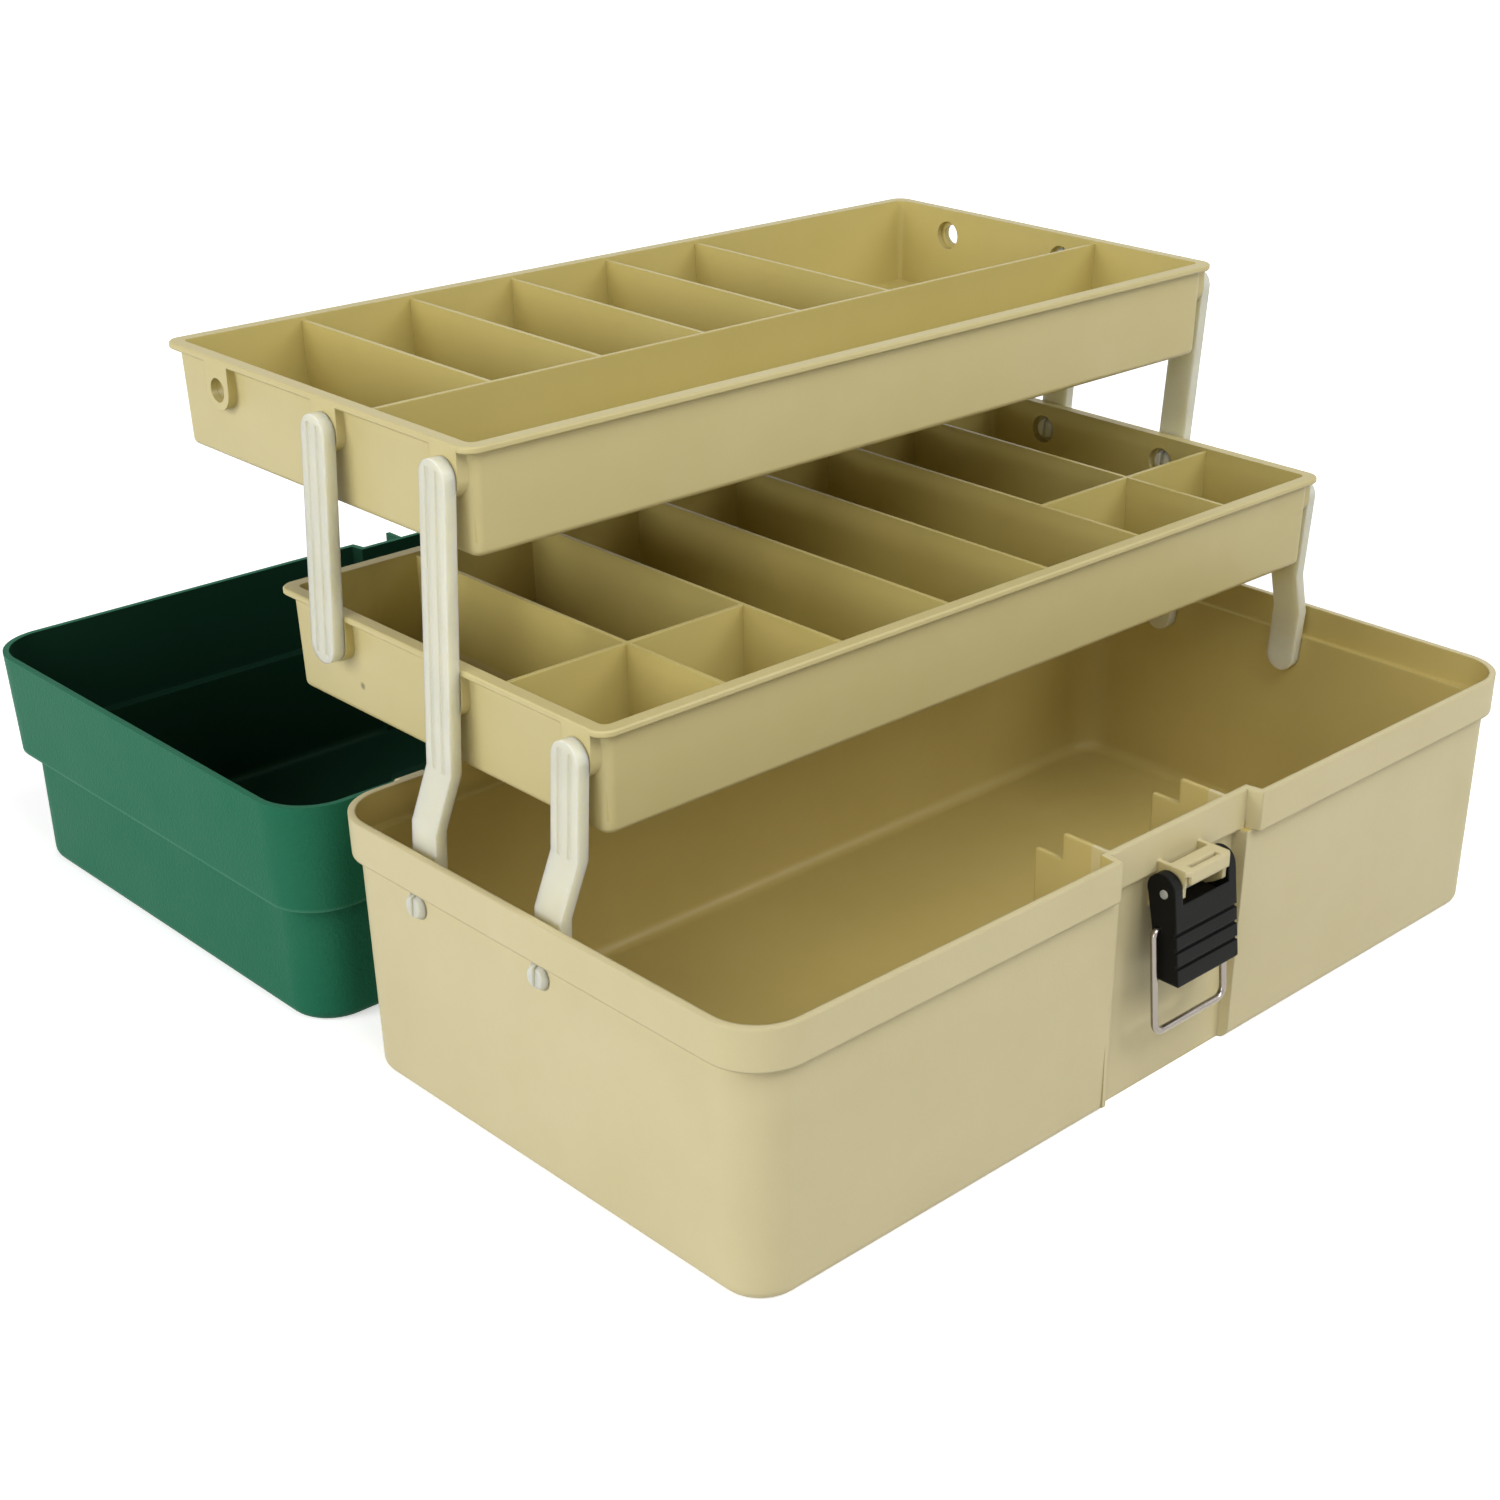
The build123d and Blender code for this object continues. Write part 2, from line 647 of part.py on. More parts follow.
with BuildPart() as latch_lever:
    with BuildSketch(Plane.YZ.offset(-lever_half)):
        Polygon(lever_face(ear_z), lever_face(lever_bottom + lever_plate / 2),
                lever_face(lever_bottom, lever_plate / 2), (bail_y, lever_bottom),
                (bail_y + 2 * bail_radius, bail_z), (ear_y + lever_ear, ear_z), align=None)
        with Locations((ear_y, ear_z)):
            Circle(lever_ear)
    extrude(amount=2 * lever_half)
    fillet(latch_lever.edges().filter_by(Axis.Y).group_by(Axis.Z)[0], radius=lever_corner)
    with BuildSketch(Plane.YZ.offset(-cheek_inner)):
        Polygon(lever_face(lever_bottom + lever_plate, lever_plate),
                lever_face(lever_notch - lever_plate, lever_plate), lever_face(lever_notch),
                lever_face(lever_notch, -lever_plate), lever_face(base_height, -lever_plate),
                (0, base_height), (0, lever_bottom + lever_plate), align=None)
    extrude(amount=2 * cheek_inner, mode=Mode.SUBTRACT)
    # Web behind the notch, between the bracket's cheeks
    with BuildSketch(Plane.XY.offset(lever_notch - lever_plate)):
        with Locations((0, lever_face(lever_notch, lever_plate)[0] + lever_web[1] / 2)):
            Rectangle(lever_web[0], lever_web[1] + lever_plate)
    extrude(amount=-lever_plate)
    for k in range(3):
        with BuildSketch(Plane.YZ.offset(-lever_half)):
            with Locations(lever_face(lever_bottom + lever_groove_first + k * lever_groove_pitch)):
                Rectangle(2 * lever_groove, 1.4 * lever_groove)
        extrude(amount=2 * lever_half, mode=Mode.SUBTRACT)
    with BuildSketch(Plane.YZ):
        with Locations((latch_pin_y, latch_pin_z)):
            Circle(latch_pin_radius + pin_fit)
        with Locations((bail_y, bail_z)):
            Circle(bail_radius + bail_fit)
    extrude(amount=2 * lever_half, both=True, mode=Mode.SUBTRACT)
latch_lever.part.label = "latch_lever"
export_step(latch_lever.part, "parts/latch_lever.step")

# Latch pin, held in the bracket's cheeks
with BuildPart() as latch_pin:
    with BuildSketch(Plane.YZ):
        with Locations((latch_pin_y, latch_pin_z)):
            Circle(latch_pin_radius)
    extrude(amount=lever_half + seat_gap, both=True)
latch_pin.part.label = "latch_pin"
export_step(latch_pin.part, "parts/latch_pin.step")

# Wire bail, its ends turned in through the lever's cheeks, leaning out at its foot
leg_x = lever_half + bail_side_gap + bail_radius
bail_foot = (bail_y - bail_length * sin(radians(bail_lean)), bail_z - bail_length * cos(radians(bail_lean)))
with BuildPart() as latch_bail:
    with BuildLine() as wire:
        FilletPolyline((-cheek_inner + seat_gap, bail_y, bail_z), (-leg_x, bail_y, bail_z),
                       (-leg_x, *bail_foot), (leg_x, *bail_foot),
                       (leg_x, bail_y, bail_z), (cheek_inner - seat_gap, bail_y, bail_z),
                       radius=[bail_bend, bail_corner, bail_corner, bail_bend])
    with BuildSketch(Plane(origin=wire.line @ 0, z_dir=wire.line % 0)):
        Circle(bail_radius)
    sweep()
latch_bail.part.label = "latch_bail"
export_step(latch_bail.part, "parts/latch_bail.step")
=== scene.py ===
"""Cantilever tool box, open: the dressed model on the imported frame. Metres, +Z up, the box's front
to -Y. Sections follow the box as it is put together, from the tub outwards."""
import math

import bpy
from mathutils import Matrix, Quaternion, Vector


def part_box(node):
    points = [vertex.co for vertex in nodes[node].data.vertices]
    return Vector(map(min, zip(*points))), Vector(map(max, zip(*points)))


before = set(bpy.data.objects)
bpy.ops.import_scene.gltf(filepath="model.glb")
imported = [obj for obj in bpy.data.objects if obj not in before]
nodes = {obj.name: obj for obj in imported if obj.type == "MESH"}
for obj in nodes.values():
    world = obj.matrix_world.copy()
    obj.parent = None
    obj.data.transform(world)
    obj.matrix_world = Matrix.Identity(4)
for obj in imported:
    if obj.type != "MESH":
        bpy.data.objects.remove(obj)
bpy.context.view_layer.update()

# Tub
# The tub is one polypropylene moulding, spark-eroded grain outside and plain polished tool inside.
# It carries the arms' pivot holes, the latch bracket, the two inner fins and the hinge lugs.
MILLIMETRE = 0.001
TUB_CREAM = "D2C69B"
# The tub's inside colour is darker and browner, partly the polished side's own tone and partly
# painted shade inside the tub
TUB_INSIDE_SHADED = "C5B370"
GATE_BROWN = "5A5138"
# A pale green painted along the lid band's edge as a highlight
STEP_HIGHLIGHT_GREEN = "5F9C82"
# Nearer the middle than this, a face turned to an end is a flank of the latch recess
RECESS_REACH = 0.06
# A face that looks up from this far below a moulding's top is a ledge inside it
LEDGE_DROP = 0.0115


def linear(hex_colour):
    """An sRGB hex colour as linear RGBA."""
    channels = [int(hex_colour[k:k + 2], 16) / 255 for k in (0, 2, 4)]
    return [c / 12.92 if c <= 0.04045 else ((c + 0.055) / 1.055) ** 2.4 for c in channels] + [1.0]


def add(tree, kind, inputs=None, **settings):
    """A node with its settings; each input is given a value or another node's socket."""
    node = tree.nodes.new(kind)
    for name, value in settings.items():
        setattr(node, name, value)
    for name, value in (inputs or {}).items():
        if isinstance(value, bpy.types.NodeSocket):
            tree.links.new(value, node.inputs[name])
        else:
            node.inputs[name].default_value = value
    return node


def centre_of(node):
    """The middle of a CAD node's box at rest."""
    low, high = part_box(node)
    return (low + high) / 2


def half_of(node):
    """Half the size of a CAD node's box at rest."""
    low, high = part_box(node)
    return (high - low) / 2


def moulded_polypropylene(name, colour, inside_colour_and_shade, centre, half, skin_depth, grain=0.7,
                          depth=0.06, rough=(0.5, 0.36), gloss=0.5, round_edge=0.45, gate=None,
                          step=None):
    """Injection-moulded polypropylene. Its outer skin, the faces within skin_depth of its box that
    turn away from its middle, is matt, paler and finely grained. Where the polished core formed
    it, it is smoother and faintly wavy, and its colour is deeper, partly its own tone and partly
    painted shade inside the hollow. Skin depth, grain, the grain's depth and the round of an
    edge are in millimetres; the grain is drawn larger than a real one, so that it shows. Rough is
    the roughness outside and inside. A gate is where the plastic was let in, a small dark mark. A
    step is the height of a band's edge, along which a pale line is painted as a highlight."""
    material = bpy.data.materials.new(name)
    material.use_nodes = True
    tree = material.node_tree
    tree.nodes.clear()
    place = add(tree, "ShaderNodeTexCoord")
    spot = place.outputs["Object"]
    arm = add(tree, "ShaderNodeVectorMath", {0: spot, 1: centre}, operation="SUBTRACT")
    way = add(tree, "ShaderNodeSeparateXYZ", {0: arm.outputs[0]})
    turn = add(tree, "ShaderNodeSeparateXYZ", {0: place.outputs["Normal"]})
    along, deep, high = way.outputs
    skin = half - Vector([skin_depth * MILLIMETRE] * 3)
    # Outside is near an end, a side or the foot of the box, with the face turned away from its
    # middle. In mid-length the ends aren't counted, so that the flanks of a recess are outside too
    far = add(tree, "ShaderNodeMath", {0: along}, operation="ABSOLUTE")
    wide = add(tree, "ShaderNodeMath", {0: deep}, operation="ABSOLUTE")
    fallen = add(tree, "ShaderNodeMath", {0: high, 1: -1.0}, operation="MULTIPLY")
    shell = 0.0
    for span, edge in ((far, skin[0]), (wide, skin[1]), (fallen, skin[2])):
        over = add(tree, "ShaderNodeMath", {0: span.outputs[0], 1: edge}, operation="GREATER_THAN")
        shell = add(tree, "ShaderNodeMath", {0: over.outputs[0], 1: shell},
                    operation="MAXIMUM").outputs[0]
    end = add(tree, "ShaderNodeMath", {0: far.outputs[0], 1: RECESS_REACH},
              operation="GREATER_THAN")
    end = add(tree, "ShaderNodeMath", {0: end.outputs[0], 1: along}, operation="MULTIPLY")
    pull = add(tree, "ShaderNodeCombineXYZ", {0: end.outputs[0], 1: deep, 2: high})
    facing = add(tree, "ShaderNodeVectorMath", {0: pull.outputs[0], 1: place.outputs["Normal"]},
                 operation="DOT_PRODUCT")
    edge_on = 0.001
    away = add(tree, "ShaderNodeMapRange", {"Value": facing.outputs["Value"],
                                            "From Min": -edge_on, "From Max": edge_on})
    # A ledge that faces up below the rim belongs to the inside, and takes the inside colour with its
    # painted shade
    faces_up = 0.5
    level = add(tree, "ShaderNodeMath", {0: turn.outputs[2], 1: faces_up},
                operation="GREATER_THAN")
    low = add(tree, "ShaderNodeMath", {0: high, 1: half[2] - LEDGE_DROP}, operation="LESS_THAN")
    ledge = add(tree, "ShaderNodeMath", {0: level.outputs[0], 1: low.outputs[0]},
                operation="MULTIPLY")
    shell = add(tree, "ShaderNodeMath", {0: away.outputs[0], 1: shell}, operation="MULTIPLY")
    outside = add(tree, "ShaderNodeMath", {0: shell.outputs[0], 1: ledge.outputs[0]},
                  operation="SUBTRACT", use_clamp=True).outputs[0]
    # The dye drifts a little as the plastic flows, and the grain flecks it
    flow_size = 45 * MILLIMETRE
    noise_low, noise_high = 0.3, 0.7
    fleck_share, tint_share = 0.35, 0.55
    drift = add(tree, "ShaderNodeTexNoise", {"Vector": spot, "Scale": 1 / flow_size,
                                             "Detail": 3.0, "Roughness": 0.6})
    flow = add(tree, "ShaderNodeMapRange", {"Value": drift.outputs["Fac"],
                                            "From Min": noise_low, "From Max": noise_high})
    speck = add(tree, "ShaderNodeTexNoise", {"Vector": spot, "Scale": 1 / (grain * MILLIMETRE),
                                             "Detail": 2.0, "Roughness": 0.7})
    fleck = add(tree, "ShaderNodeMapRange", {"Value": speck.outputs["Fac"],
                                             "From Min": noise_low, "From Max": noise_high,
                                             "To Min": 0.0, "To Max": fleck_share})
    tint = add(tree, "ShaderNodeMath", {0: flow.outputs[0], 1: fleck.outputs[0]}, operation="ADD")
    tint = add(tree, "ShaderNodeMath", {0: tint.outputs[0], 1: tint_share}, operation="MULTIPLY")
    # Inside faces take a deeper colour, partly the polished side's own tone and partly painted shade
    # inside the hollow
    dye_and_painted_shade = add(tree, "ShaderNodeMix", {0: outside, 6: linear(inside_colour_and_shade), 7: linear(colour)},
              data_type="RGBA")
    hue = add(tree, "ShaderNodeHueSaturation", {"Color": dye_and_painted_shade.outputs[2], "Saturation": 1.06,
                                                "Value": 0.93, "Fac": tint.outputs[0]})
    pigment_and_painted_light = hue.outputs[0]
    if gate:
        mark_radius, mark_fades, mark_strength = 0.6 * MILLIMETRE, 1.7 * MILLIMETRE, 0.75
        near = add(tree, "ShaderNodeVectorMath", {0: spot, 1: gate}, operation="DISTANCE")
        mark = add(tree, "ShaderNodeMapRange", {"Value": near.outputs["Value"],
                                                "From Min": mark_radius, "From Max": mark_fades,
                                                "To Min": mark_strength, "To Max": 0.0})
        pigment_and_painted_light = add(tree, "ShaderNodeMix", {0: mark.outputs[0], 6: pigment_and_painted_light,
                                              7: linear(GATE_BROWN)}, data_type="RGBA").outputs[2]
    # Along the band's edge, on the outside only, a pale line is painted as a highlight
    if step:
        line_half, line_fades, line_strength = 0.4 * MILLIMETRE, 1.4 * MILLIMETRE, 0.3
        rise = add(tree, "ShaderNodeSeparateXYZ", {0: spot})
        rise = add(tree, "ShaderNodeMath", {0: rise.outputs[2], 1: step}, operation="SUBTRACT")
        rise = add(tree, "ShaderNodeMath", {0: rise.outputs[0]}, operation="ABSOLUTE")
        painted_highlight = add(tree, "ShaderNodeMapRange", {"Value": rise.outputs[0],
                                                "From Min": line_half, "From Max": line_fades,
                                                "To Min": line_strength, "To Max": 0.0})
        painted_highlight = add(tree, "ShaderNodeMath", {0: painted_highlight.outputs[0], 1: outside}, operation="MULTIPLY")
        pigment_and_painted_light = add(tree, "ShaderNodeMix", {0: painted_highlight.outputs[0], 6: pigment_and_painted_light,
                                              7: linear(STEP_HIGHLIGHT_GREEN)}, data_type="RGBA").outputs[2]
    edge = add(tree, "ShaderNodeBevel", {"Radius": round_edge * MILLIMETRE}, samples=6)
    # A wall sinks a little as it cools, and the grain bites far more outside than inside
    sink_size, sink_depth = 38 * MILLIMETRE, 0.35 * MILLIMETRE
    bite_inside, bite_outside = 0.06, 0.6
    sink = add(tree, "ShaderNodeTexNoise", {"Vector": spot, "Scale": 1 / sink_size,
                                            "Detail": 1.0})
    wave = add(tree, "ShaderNodeBump", {"Height": sink.outputs["Fac"], "Strength": 0.5,
                                        "Distance": sink_depth,
                                        "Normal": edge.outputs["Normal"]})
    bite = add(tree, "ShaderNodeMapRange", {"Value": outside, "To Min": bite_inside,
                                            "To Max": bite_outside})
    pits = add(tree, "ShaderNodeBump", {"Height": speck.outputs["Fac"],
                                        "Strength": bite.outputs[0],
                                        "Distance": depth * MILLIMETRE,
                                        "Normal": wave.outputs["Normal"]})
    rub = 0.06
    matt = add(tree, "ShaderNodeMapRange", {"Value": outside, "To Min": rough[1],
                                            "To Max": rough[0]})
    uneven = add(tree, "ShaderNodeMapRange", {"Value": drift.outputs["Fac"], "To Min": -rub,
                                              "To Max": rub})
    rubbed = add(tree, "ShaderNodeMath", {0: matt.outputs[0], 1: uneven.outputs[0]},
                 operation="ADD")
    plastic = add(tree, "ShaderNodeBsdfPrincipled",
                  {"Base Color": pigment_and_painted_light, "Roughness": rubbed.outputs[0], "IOR": 1.49,
                   "Specular IOR Level": gloss, "Normal": pits.outputs["Normal"]})
    add(tree, "ShaderNodeOutputMaterial", {"Surface": plastic.outputs[0]})
    return material


def smooth_by_angle(name):
    """A tree that joins a moulding's loose triangles and shades its rounds smooth and its corners
    crisp."""
    tree = bpy.data.node_groups.new(name, "GeometryNodeTree")
    tree.interface.new_socket("Geometry", in_out="INPUT", socket_type="NodeSocketGeometry")
    tree.interface.new_socket("Crisp above", in_out="INPUT", socket_type="NodeSocketFloat")
    tree.interface.new_socket("Geometry", in_out="OUTPUT", socket_type="NodeSocketGeometry")
    same_place = 0.001 * MILLIMETRE
    given = add(tree, "NodeGroupInput")
    joined = add(tree, "GeometryNodeMergeByDistance", {"Geometry": given.outputs[0],
                                                       "Distance": same_place})
    smooth = add(tree, "GeometryNodeSetShadeSmooth", {"Geometry": joined.outputs[0],
                                                      "Shade Smooth": True}, domain="FACE")
    corner = add(tree, "GeometryNodeInputMeshEdgeAngle")
    rounded = add(tree, "FunctionNodeCompare", {0: corner.outputs["Unsigned Angle"],
                                                1: given.outputs[1]}, operation="LESS_THAN")
    crisp = add(tree, "GeometryNodeSetShadeSmooth", {"Geometry": smooth.outputs[0],
                                                     "Shade Smooth": rounded.outputs[0]},
                domain="EDGE")
    add(tree, "NodeGroupOutput", {0: crisp.outputs[0]})
    return tree


moulding_shade = smooth_by_angle("moulding_shade")


def finish_node(name, material, crisp_above=24.0):
    """Gives a CAD node its material and shades its rounds smooth, up to an angle in degrees."""
    node = nodes[name]
    node.data.materials.clear()
    node.data.materials.append(material)
    shade = node.modifiers.new("shade", "NODES")
    shade.node_group = moulding_shade
    sockets = [s for s in moulding_shade.interface.items_tree if s.in_out == "INPUT"]
    shade[sockets[1].identifier] = math.radians(crisp_above)


finish_node("base_box", moulded_polypropylene("tub_polypropylene", TUB_CREAM, TUB_INSIDE_SHADED,
                                              centre_of("base_box"), half_of("base_box"),
                                              skin_depth=22, grain=0.9, depth=0.1,
                                              rough=(0.5, 0.47), round_edge=1.2))

# Swing arms
# Six acetal mouldings with their split studs moulded on, snapped through the tub's and the trays'
# end walls. Natural acetal is milky, lets a little light in and has a low satin gloss.
ARM_WHITE = "DDDDCC"
ARM_FLOW = "D6D3BC"


def moulded_acetal(name, colour, flow_colour):
    """Natural acetal: milky, with a satin face and faint flow marks of a second colour."""
    material = bpy.data.materials.new(name)
    material.use_nodes = True
    tree = material.node_tree
    tree.nodes.clear()
    flow_size, flow_depth = 12 * MILLIMETRE, 0.2 * MILLIMETRE
    round_edge = 0.9 * MILLIMETRE
    light_sinks = 9 * MILLIMETRE
    smoothest, roughest = 0.34, 0.46
    spot = add(tree, "ShaderNodeTexCoord").outputs["Object"]
    drift = add(tree, "ShaderNodeTexNoise", {"Vector": spot, "Scale": 1 / flow_size,
                                             "Detail": 3.0})
    hue = add(tree, "ShaderNodeMix", {0: drift.outputs["Fac"], 6: linear(colour),
                                      7: linear(flow_colour)}, data_type="RGBA")
    edge = add(tree, "ShaderNodeBevel", {"Radius": round_edge}, samples=8)
    pits = add(tree, "ShaderNodeBump", {"Height": drift.outputs["Fac"], "Strength": 0.25,
                                        "Distance": flow_depth, "Normal": edge.outputs[0]})
    gloss = add(tree, "ShaderNodeMapRange", {"Value": drift.outputs["Fac"], "To Min": smoothest,
                                             "To Max": roughest})
    acetal = add(tree, "ShaderNodeBsdfPrincipled",
                 {"Base Color": hue.outputs[2], "Roughness": gloss.outputs[0], "IOR": 1.48,
                  "Subsurface Weight": 1.0, "Subsurface Radius": (1.0, 0.88, 0.6),
                  "Subsurface Scale": light_sinks, "Normal": pits.outputs[0]})
    add(tree, "ShaderNodeOutputMaterial", {"Surface": acetal.outputs[0]})
    return material


arm_acetal = moulded_acetal("arm_acetal", ARM_WHITE, ARM_FLOW)
for place in ("main", "front", "rear"):
    for side in ("left", "right"):
        finish_node(f"{place}_arm_{side}", arm_acetal)

# Trays
# Two open polypropylene trays with a flat lip, thin cell walls and bossed pivot holes, moulded in
# the tub's colour from finer tools, so their faces are smoother than the tub's outside.
TRAY_CREAM = "C9BC87"
# The trays' inside colour is darker, partly the polished side's own tone and partly painted shade in
# the cells
TRAY_INSIDE_SHADED = "C3B472"
GATE_MARKS = {"lower_tray": (-0.1786, 0.1109, 0.1359), "upper_tray": None}
for tray, gate in GATE_MARKS.items():
    finish_node(tray, moulded_polypropylene(f"{tray}_polypropylene", TRAY_CREAM, TRAY_INSIDE_SHADED,
                                            centre_of(tray), half_of(tray), skin_depth=5,
                                            grain=0.6, depth=0.03, rough=(0.42, 0.36), gate=gate))

# Lid
# The lid is a deep green polypropylene moulding, laid back on its rear hinge with its top panel
# on the ground: grained outside, smooth inside, where it is painted dark as shade.
LID_GREEN = "286D52"
# The lid's inside colour is the same green painted dark as shade inside the lid
LID_INSIDE_SHADED = "1A3A2B"
# Height of the lid band's edge, where the painted highlight line runs
LID_BAND_EDGE = 0.0492
finish_node("lid", moulded_polypropylene("lid_polypropylene", LID_GREEN, LID_INSIDE_SHADED,
                                         centre_of("lid"), half_of("lid"), skin_depth=22,
                                         grain=1.3, depth=0.5, rough=(0.52, 0.42), gloss=0.08,
                                         step=LID_BAND_EDGE))

# Hinge pins and handle
# Plain drawn steel pins through the tub's lugs, and a black polypropylene handle that folds into
# a pocket in the lid's top.
PIN_STEEL = "BDBBB6"
HANDLE_BLACK = "1D1D1C"


def drawn_steel(name, colour, rough, unevenness):
    """Drawn steel: bright, its polish a little uneven in patches so many millimetres across."""
    material = bpy.data.materials.new(name)
    material.use_nodes = True
    tree = material.node_tree
    tree.nodes.clear()
    brighter, duller = 0.06, 0.1
    scuff_depth = 0.02 * MILLIMETRE
    spot = add(tree, "ShaderNodeTexCoord").outputs["Object"]
    polish = add(tree, "ShaderNodeTexNoise", {"Vector": spot,
                                              "Scale": 1 / (unevenness * MILLIMETRE),
                                              "Detail": 3.0})
    gloss = add(tree, "ShaderNodeMapRange", {"Value": polish.outputs["Fac"],
                                             "To Min": rough - brighter,
                                             "To Max": rough + duller})
    scuff = add(tree, "ShaderNodeBump", {"Height": polish.outputs["Fac"], "Strength": 0.15,
                                         "Distance": scuff_depth})
    steel = add(tree, "ShaderNodeBsdfPrincipled",
                {"Base Color": linear(colour), "Metallic": 1.0, "Roughness": gloss.outputs[0],
                 "Normal": scuff.outputs[0]})
    add(tree, "ShaderNodeOutputMaterial", {"Surface": steel.outputs[0]})
    return material


pin_steel = drawn_steel("pin_steel", PIN_STEEL, rough=0.34, unevenness=4)
finish_node("hinge_pin_left", pin_steel)
finish_node("hinge_pin_right", pin_steel)
finish_node("handle", moulded_polypropylene("handle_polypropylene", HANDLE_BLACK, HANDLE_BLACK,
                                            centre_of("handle"), half_of("handle"),
                                            skin_depth=40, rough=(0.5, 0.46), gloss=0.1))

# Latch
# A black grooved lever turns on a plastic pin in the tub's bracket, and a bail bent from 2.6 mm
# nickel-plated wire turns in the lever's cheeks and hooks over the lid's catch.
LEVER_BLACK = "141413"
# The lever's inside faces are painted a darker black as shade within the lever
LEVER_INSIDE_SHADED = "0C0C0B"
BAIL_NICKEL = "968F88"
finish_node("latch_lever", moulded_polypropylene("lever_abs", LEVER_BLACK, LEVER_INSIDE_SHADED,
                                                 centre_of("latch_lever"),
                                                 half_of("latch_lever"), skin_depth=5,
                                                 grain=0.5, depth=0.03, rough=(0.5, 0.46),
                                                 gloss=0.1, round_edge=0.9))
finish_node("latch_pin", arm_acetal)
finish_node("latch_bail", drawn_steel("bail_nickel", BAIL_NICKEL, rough=0.2, unevenness=6))

# Floor, light and camera
# A pale studio floor, two soft boxes to the left, behind and before the box's front, two more at
# the front, one low to the right and one high, and one behind that keeps the far sides from going
# dark. The camera stands where the photograph was taken from. What the floor sends back into the
# box is matt grey; what is seen of it glows white, the more so the further from the box.
FLOOR_REACH = 6.0
FLOOR_MATT = "B4B4B2"
FLOOR_SEEN = "F4F4F3"
GLOW_NEAR, GLOW_FAR = 0.4, 1.8
GLOW_LEAST, GLOW_MOST = 0.55, 1.0
WHITE = (1, 1, 1, 1)
WORLD_FILL = 0.04
floor = bpy.data.meshes.new("floor")
floor.from_pydata([(-FLOOR_REACH, -FLOOR_REACH, 0), (FLOOR_REACH, -FLOOR_REACH, 0),
                   (FLOOR_REACH, FLOOR_REACH, 0), (-FLOOR_REACH, FLOOR_REACH, 0)],
                  [], [(0, 1, 2, 3)])
floor_object = bpy.data.objects.new("floor", floor)
bpy.context.scene.collection.objects.link(floor_object)
floor_paper = bpy.data.materials.new("floor_paper")
floor_paper.use_nodes = True
paper = floor_paper.node_tree
paper.nodes.clear()
floor_path = add(paper, "ShaderNodeLightPath")
looked_at = add(paper, "ShaderNodeMath", {0: floor_path.outputs["Is Camera Ray"],
                                          1: floor_path.outputs["Is Glossy Ray"]},
                operation="MAXIMUM")
looked_at = add(paper, "ShaderNodeMath", {0: looked_at.outputs[0],
                                          1: floor_path.outputs["Is Transmission Ray"]},
                operation="MAXIMUM")
matt_floor = add(paper, "ShaderNodeBsdfDiffuse", {"Color": linear(FLOOR_MATT)})
seen_floor = add(paper, "ShaderNodeBsdfDiffuse", {"Color": linear(FLOOR_SEEN)})
distance = add(paper, "ShaderNodeVectorMath",
               {0: add(paper, "ShaderNodeTexCoord").outputs["Object"]}, operation="LENGTH")
glow = add(paper, "ShaderNodeMapRange", {"Value": distance.outputs["Value"],
                                         "From Min": GLOW_NEAR, "From Max": GLOW_FAR,
                                         "To Min": GLOW_LEAST, "To Max": GLOW_MOST})
bright = add(paper, "ShaderNodeEmission", {"Color": WHITE, "Strength": glow.outputs[0]})
shadowed = add(paper, "ShaderNodeAddShader", {0: seen_floor.outputs[0], 1: bright.outputs[0]})
either = add(paper, "ShaderNodeMixShader", {0: looked_at.outputs[0], 1: matt_floor.outputs[0],
                                            2: shadowed.outputs[0]})
add(paper, "ShaderNodeOutputMaterial", {"Surface": either.outputs[0]})
floor.materials.append(floor_paper)

world = bpy.data.worlds.new("studio")
bpy.context.scene.world = world
world.use_nodes = True
air = world.node_tree
air.nodes.clear()
air_path = add(air, "ShaderNodeLightPath")
seen = add(air, "ShaderNodeMath", {0: air_path.outputs["Is Camera Ray"],
                                   1: air_path.outputs["Is Glossy Ray"]}, operation="MAXIMUM")
seen = add(air, "ShaderNodeMath", {0: seen.outputs[0],
                                   1: air_path.outputs["Is Transmission Ray"]},
           operation="MAXIMUM")
fill = add(air, "ShaderNodeBackground", {"Color": WHITE, "Strength": WORLD_FILL})
white = add(air, "ShaderNodeBackground", {"Color": WHITE, "Strength": 1.0})
both = add(air, "ShaderNodeMixShader", {0: seen.outputs[0], 1: fill.outputs[0],
                                        2: white.outputs[0]})
add(air, "ShaderNodeOutputWorld", {"Surface": both.outputs[0]})


LAMP_SIZE = 1.2
LAMP_AIM = Vector((0, 0, 0.1))


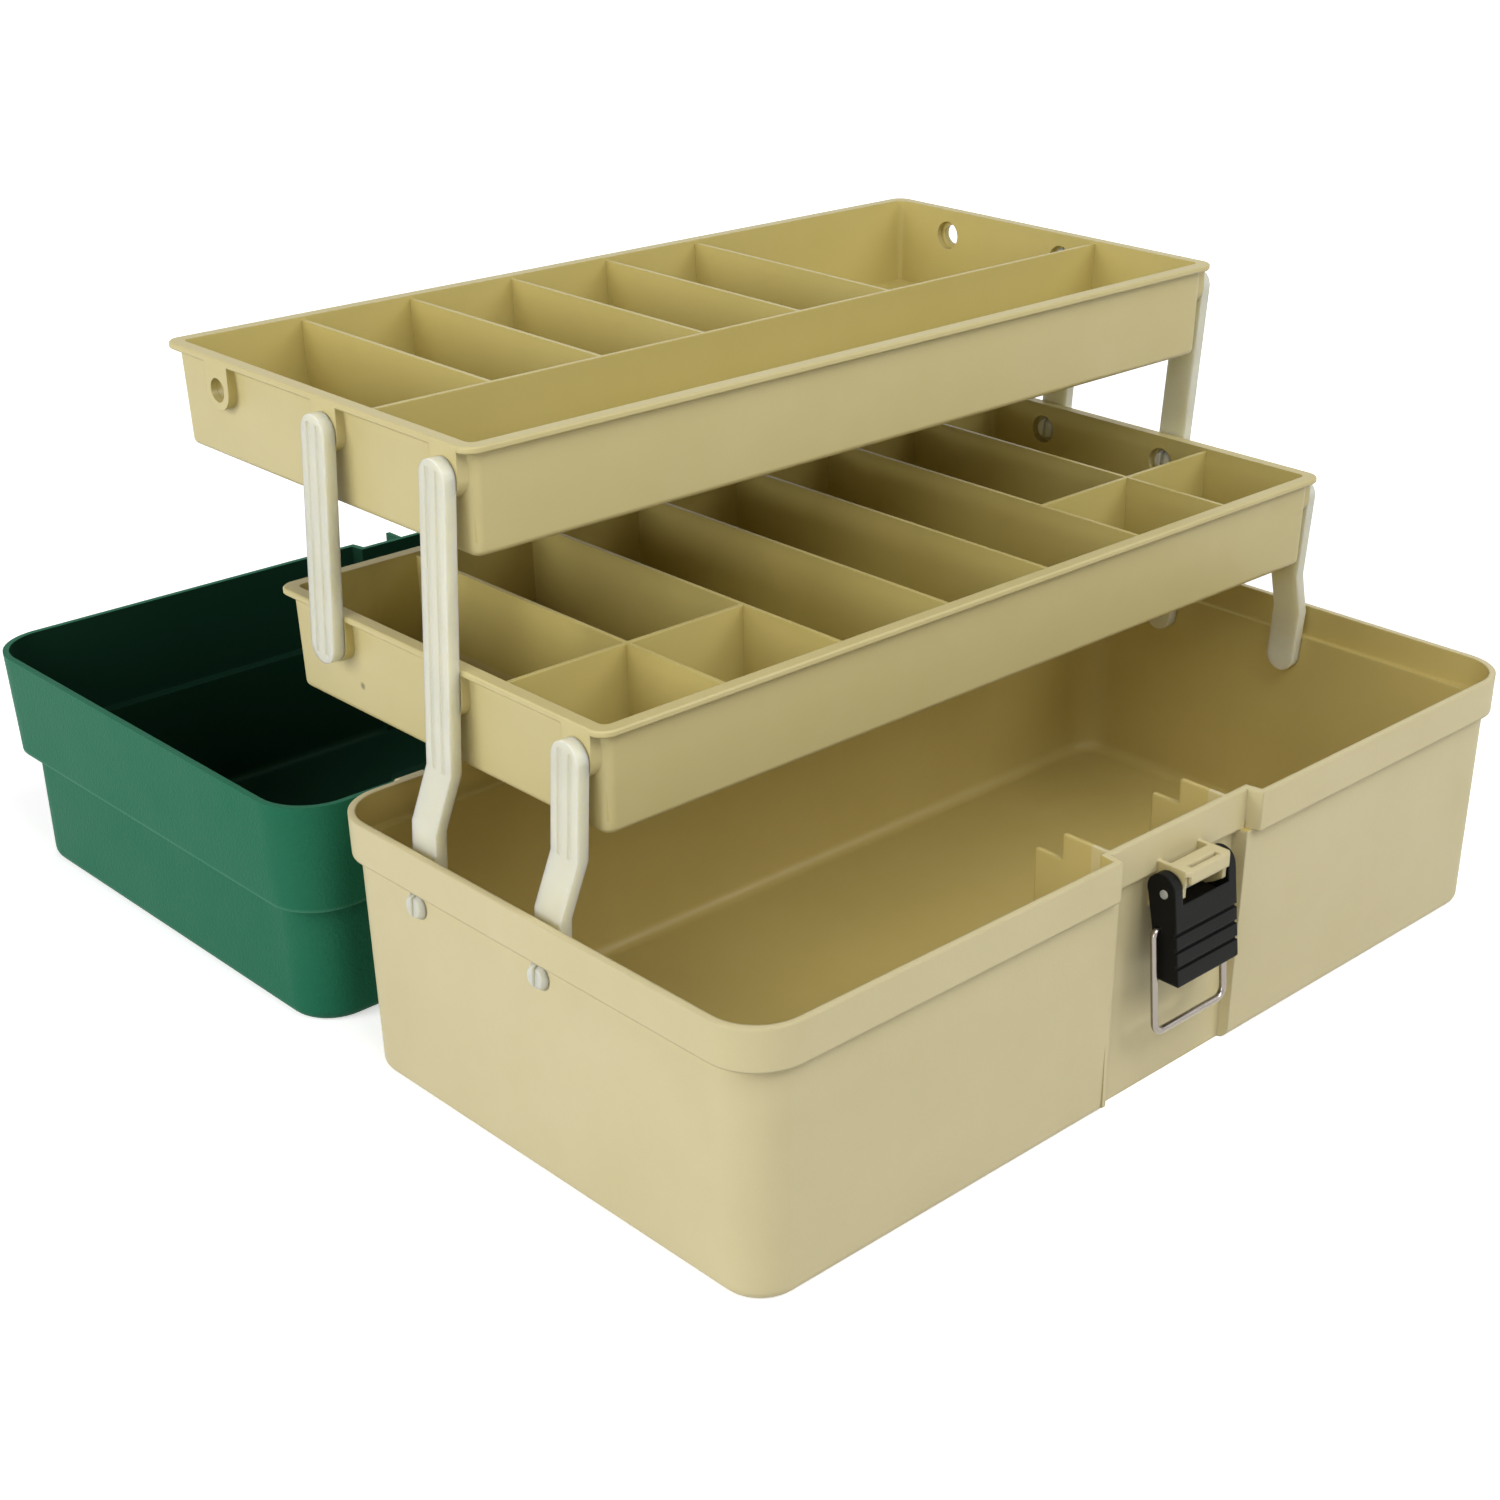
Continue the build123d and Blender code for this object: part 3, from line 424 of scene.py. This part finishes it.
def soft_box(name, place, power, mirrored=True):
    """A square area lamp at that place, turned to the box, its power in watts. One that isn't
    mirrored lights faces without a highlight on them, as a wall behind the set does."""
    lamp = bpy.data.lights.new(name, "AREA")
    lamp.size = LAMP_SIZE
    lamp.energy = power
    lamp_object = bpy.data.objects.new(name, lamp)
    lamp_object.location = place
    lamp_object.visible_glossy = mirrored
    lamp_object.rotation_euler = (LAMP_AIM - Vector(place)).to_track_quat("-Z", "Y").to_euler()
    bpy.context.scene.collection.objects.link(lamp_object)


soft_box("key_behind", (-2.0, 0.5, 0.9), power=26)
soft_box("key_before", (-1.9, -0.8, 0.9), power=12)
soft_box("front_right", (0.9, -1.7, 1.3), power=19.5)
soft_box("front_top", (-0.2, -1.2, 1.9), power=21.5)
soft_box("behind_right", (1.6, 1.3, 0.9), power=10, mirrored=False)

# The photograph's camera, as fitted to the box's outlines: place and near clip in metres, angles
# in degrees, focal length and axis in the photograph's pixels, the sensor's width in millimetres
CAMERA_PLACE = (-0.587185, -0.541103, 0.452278)
CAMERA_TURN = 45.6493
CAMERA_FALL = 24.4571
CAMERA_ROLL = 0.7078
FOCAL_PIXELS = 2403.227
AXIS_PIXELS = (146.866, 6.788)
PHOTO_PIXELS = 1500.0
SENSOR_WIDTH = 36.0
CLIP_START = 0.01
turn, fall = math.radians(CAMERA_TURN), math.radians(CAMERA_FALL)
ahead = Vector((math.sin(turn) * math.cos(fall), math.cos(turn) * math.cos(fall), -math.sin(fall)))
camera = bpy.data.cameras.new("camera")
camera.sensor_width = SENSOR_WIDTH
camera.lens = camera.sensor_width * FOCAL_PIXELS / PHOTO_PIXELS
camera.shift_x = -AXIS_PIXELS[0] / PHOTO_PIXELS
camera.shift_y = AXIS_PIXELS[1] / PHOTO_PIXELS
camera.clip_start = CLIP_START
camera_object = bpy.data.objects.new("camera", camera)
camera_object.rotation_mode = "QUATERNION"
camera_object.rotation_quaternion = (ahead.to_track_quat("-Z", "Y")
                                     @ Quaternion((0, 0, 1), math.radians(CAMERA_ROLL)))
camera_object.location = CAMERA_PLACE
bpy.context.scene.collection.objects.link(camera_object)
bpy.context.scene.camera = camera_object
bpy.context.scene.view_settings.view_transform = "Standard"
